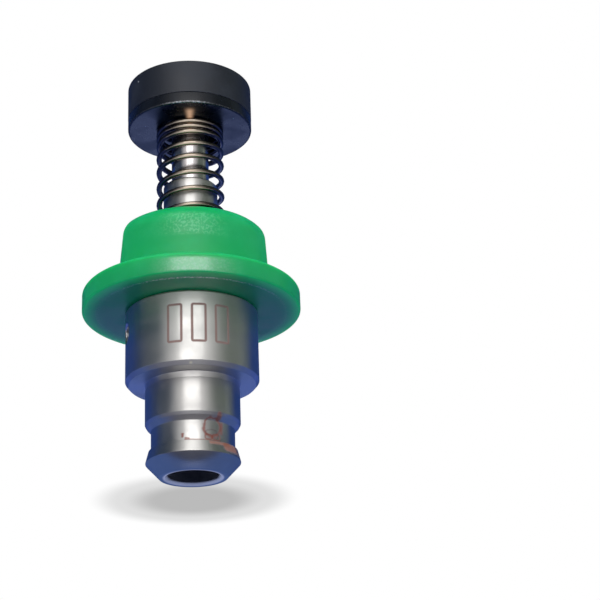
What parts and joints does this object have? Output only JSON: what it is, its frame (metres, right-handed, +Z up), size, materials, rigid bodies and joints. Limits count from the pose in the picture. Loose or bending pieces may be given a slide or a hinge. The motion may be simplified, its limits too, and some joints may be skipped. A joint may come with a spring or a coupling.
{
  "type": "smt pick up nozzle",
  "caption": "Vacuum pick-up nozzle with a grooved steel shank, a round background disc and a flat rubber pad on a spring-loaded hollow plunger.",
  "frame": {"origin": "centre of the shank's end face, which the nozzle stands on", "axes": "+Z up the nozzle's axis from the shank to the pad; the cross pins lie along X"},
  "size_m": [0.0162, 0.0162, 0.0314],
  "materials": {
    "turned_steel": "satin turned stainless steel",
    "polished_steel": "ground and polished steel",
    "spring_wire": "drawn spring wire, dark and bright",
    "green_plastic": "moulded plastic, glossy with a fine grain",
    "black_holder": "black anodised, glossy",
    "black_rubber": "matte rubber"
  },
  "bodies": {
    "body": {"nozzle_body": "turned_steel", "background_disc": "green_plastic", "guide_pin_left": "turned_steel", "guide_pin_right": "turned_steel", "return_spring": "spring_wire"},
    "plunger": {"plunger_shaft": "polished_steel", "pad_holder": "black_holder", "rubber_pad": "black_rubber"}
  },
  "joints": [
    {"name": "plunger_slide", "type": "slide", "parent": "body", "child": "plunger", "axis": [0, 0, -1], "range_m": [0, 0.003], "stiffness_N_per_m": 150, "springref_m": -0.0008, "deforming": ["return_spring"]}
  ]
}
